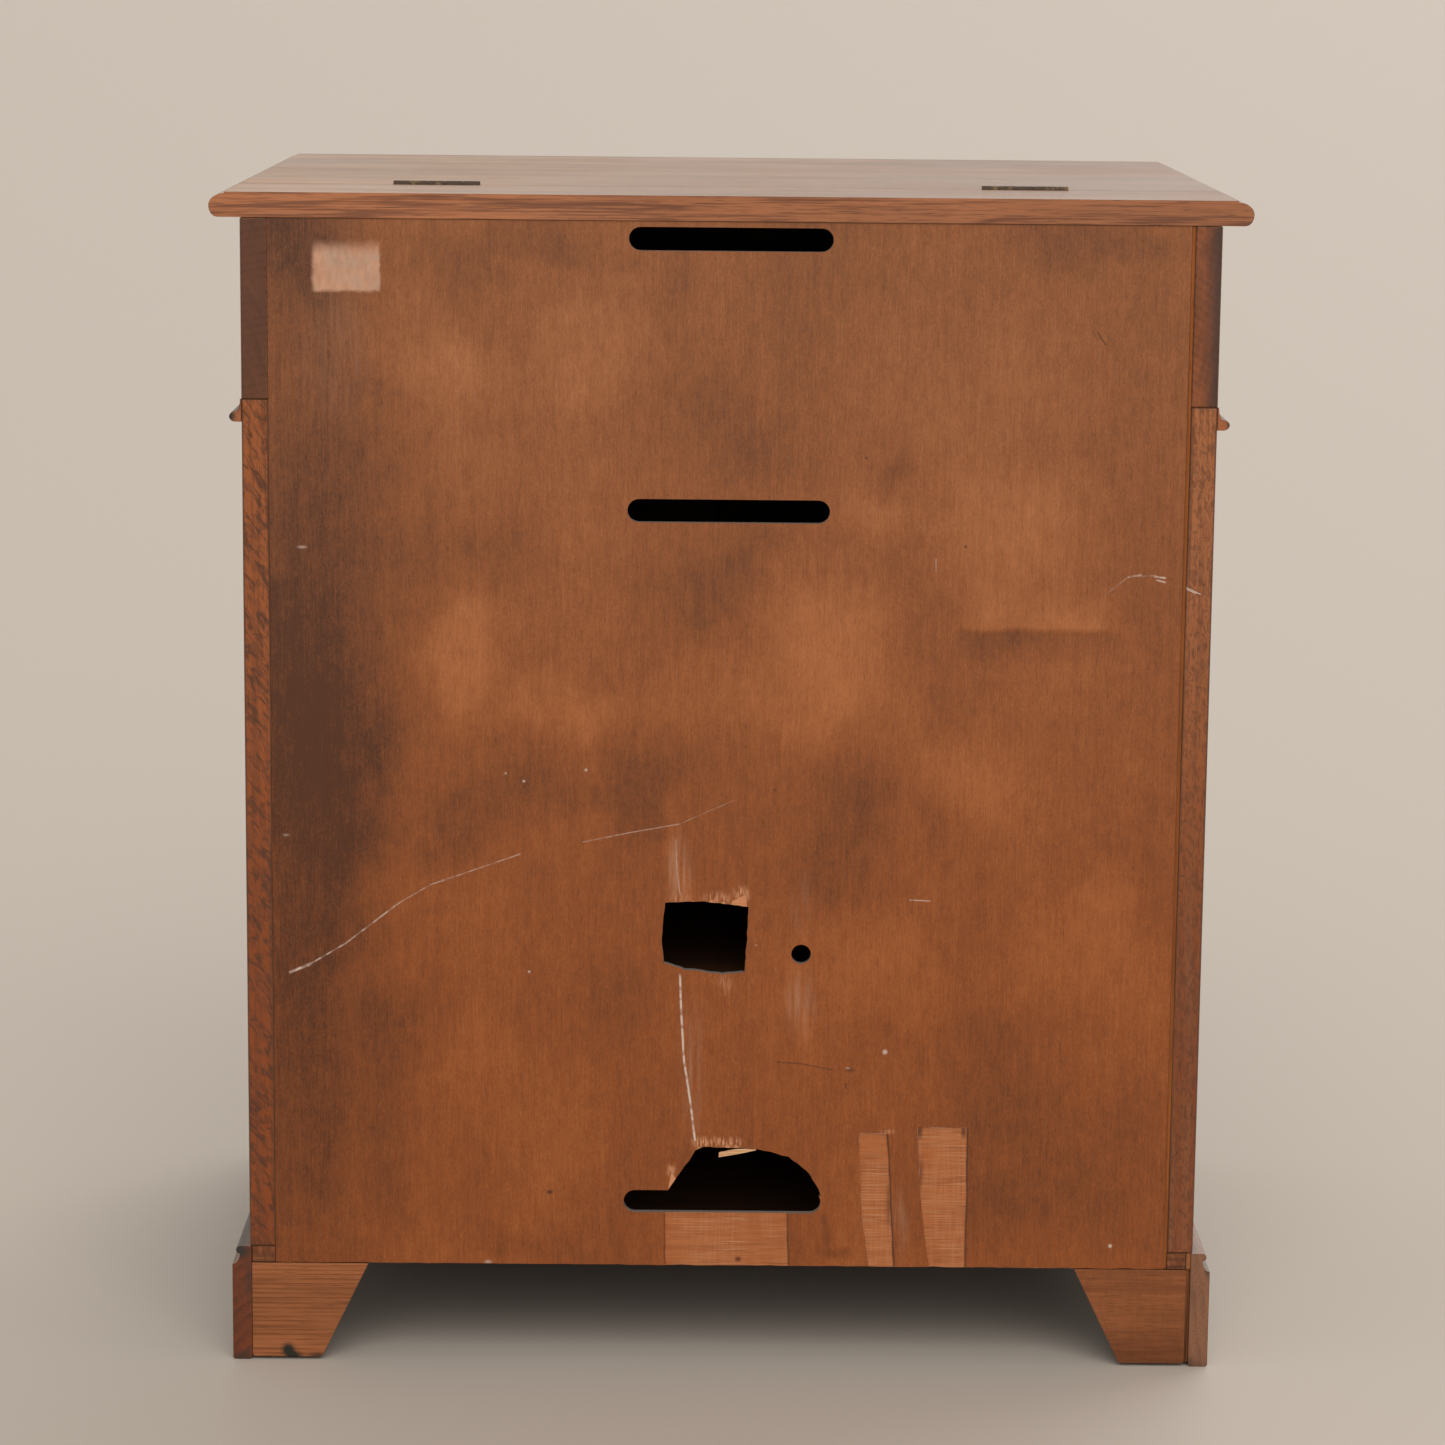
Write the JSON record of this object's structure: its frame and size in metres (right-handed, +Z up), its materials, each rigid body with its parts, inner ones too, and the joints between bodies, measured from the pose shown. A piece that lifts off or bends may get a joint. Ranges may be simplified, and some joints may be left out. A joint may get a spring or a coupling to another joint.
{
  "type": "lift-top chest cabinet",
  "caption": "Free-standing oak media cabinet shaped as a chest of drawers: lift-up lid over a well, panelled doors, cable openings in a plywood back.",
  "frame": {"origin": "on the floor, under the middle of the cabinet's overall width and depth", "axes": "+Z up, front and doors face -Y, plywood back faces +Y, +X to the right seen from the front"},
  "size_m": [0.79, 0.615, 0.9216],
  "materials": {
    "top_oak": "waxed satin, greyish pink brown",
    "dark_oak": "dark stained satin",
    "frame_oak": "stained satin, bare orange brown end and edge grain at the back",
    "raw_oak": "unfinished",
    "back_plywood": "worn brown stain, blotched and scratched",
    "brass": "aged"
  },
  "bodies": {
    "cabinet": {"top_rear_strip": "top_oak", "frieze_front": "dark_oak", "plinth_left": "dark_oak", "plinth_right": "dark_oak", "plinth_front": "dark_oak", "upper_side_left": "dark_oak", "upper_side_right": "dark_oak", "waist_moulding_left": "frame_oak", "waist_moulding_right": "frame_oak", "waist_moulding_front": "frame_oak", "front_stile_left": "frame_oak", "front_stile_right": "frame_oak", "rear_stile_left": "frame_oak", "rear_stile_right": "frame_oak", "side_bottom_rail_left": "frame_oak", "side_bottom_rail_right": "frame_oak", "side_top_rail_left": "frame_oak", "side_top_rail_right": "frame_oak", "side_panel_left": "frame_oak", "side_panel_right": "frame_oak", "bottom_board": "frame_oak", "shelf": "raw_oak", "well_floor": "raw_oak", "rear_foot_left": "raw_oak", "rear_foot_right": "raw_oak", "back_panel": "back_plywood", "lid_stay_keeper": "brass", "lid_hinge_left_fixed_leaf": "brass", "door_left_lower_hinge_fixed_leaf": "brass", "door_left_upper_hinge_fixed_leaf": "brass", "lid_hinge_right_fixed_leaf": "brass", "door_right_lower_hinge_fixed_leaf": "brass", "door_right_upper_hinge_fixed_leaf": "brass", "handle_plate_frieze_left": "brass", "handle_plate_frieze_right": "brass"},
    "lid": {"lid": "top_oak", "lid_hinge_left_moving_leaf": "brass", "lid_hinge_right_moving_leaf": "brass", "lid_stay_quadrant": "brass"},
    "door_left": {"door_left": "dark_oak", "door_left_lower_hinge_moving_leaf": "brass", "door_left_upper_hinge_moving_leaf": "brass", "handle_plate_door_left_1": "brass", "handle_plate_door_left_2": "brass", "handle_plate_door_left_3": "brass"},
    "door_right": {"door_right": "dark_oak", "door_right_lower_hinge_moving_leaf": "brass", "door_right_upper_hinge_moving_leaf": "brass", "handle_plate_door_right_1": "brass", "handle_plate_door_right_2": "brass", "handle_plate_door_right_3": "brass"},
    "handle_frieze_left": {"handle_drop_frieze_left": "brass"},
    "handle_frieze_right": {"handle_drop_frieze_right": "brass"},
    "handle_door_left_1": {"handle_drop_door_left_1": "brass"},
    "handle_door_left_2": {"handle_drop_door_left_2": "brass"},
    "handle_door_left_3": {"handle_drop_door_left_3": "brass"},
    "handle_door_right_1": {"handle_drop_door_right_1": "brass"},
    "handle_door_right_2": {"handle_drop_door_right_2": "brass"},
    "handle_door_right_3": {"handle_drop_door_right_3": "brass"}
  },
  "joints": [
    {"name": "lid_hinge", "type": "hinge", "parent": "cabinet", "child": "lid", "pos_m": [0, 0.1855, 0.9186], "axis": [-1, 0, 0], "range_deg": [0, 92]},
    {"name": "door_left_hinge", "type": "hinge", "parent": "cabinet", "child": "door_left", "pos_m": [-0.3505, -0.2865, 0.4188], "axis": [0, 0, -1], "range_deg": [0, 100]},
    {"name": "door_right_hinge", "type": "hinge", "parent": "cabinet", "child": "door_right", "pos_m": [0.3505, -0.2865, 0.4188], "axis": [0, 0, 1], "range_deg": [0, 100]},
    {"name": "handle_frieze_left_swing", "type": "hinge", "parent": "cabinet", "child": "handle_frieze_left", "pos_m": [-0.17225, -0.2973, 0.83465], "axis": [-1, 0, 0], "range_deg": [0, 80]},
    {"name": "handle_frieze_right_swing", "type": "hinge", "parent": "cabinet", "child": "handle_frieze_right", "pos_m": [0.17225, -0.2973, 0.83465], "axis": [-1, 0, 0], "range_deg": [0, 80]},
    {"name": "handle_door_left_1_swing", "type": "hinge", "parent": "door_left", "child": "handle_door_left_1", "pos_m": [-0.17525, -0.2973, 0.21167], "axis": [-1, 0, 0], "range_deg": [0, 80]},
    {"name": "handle_door_left_2_swing", "type": "hinge", "parent": "door_left", "child": "handle_door_left_2", "pos_m": [-0.17525, -0.2973, 0.4228], "axis": [-1, 0, 0], "range_deg": [0, 80]},
    {"name": "handle_door_left_3_swing", "type": "hinge", "parent": "door_left", "child": "handle_door_left_3", "pos_m": [-0.17525, -0.2973, 0.63393], "axis": [-1, 0, 0], "range_deg": [0, 80]},
    {"name": "handle_door_right_1_swing", "type": "hinge", "parent": "door_right", "child": "handle_door_right_1", "pos_m": [0.17525, -0.2973, 0.21167], "axis": [-1, 0, 0], "range_deg": [0, 80]},
    {"name": "handle_door_right_2_swing", "type": "hinge", "parent": "door_right", "child": "handle_door_right_2", "pos_m": [0.17525, -0.2973, 0.4228], "axis": [-1, 0, 0], "range_deg": [0, 80]},
    {"name": "handle_door_right_3_swing", "type": "hinge", "parent": "door_right", "child": "handle_door_right_3", "pos_m": [0.17525, -0.2973, 0.63393], "axis": [-1, 0, 0], "range_deg": [0, 80]}
  ]
}
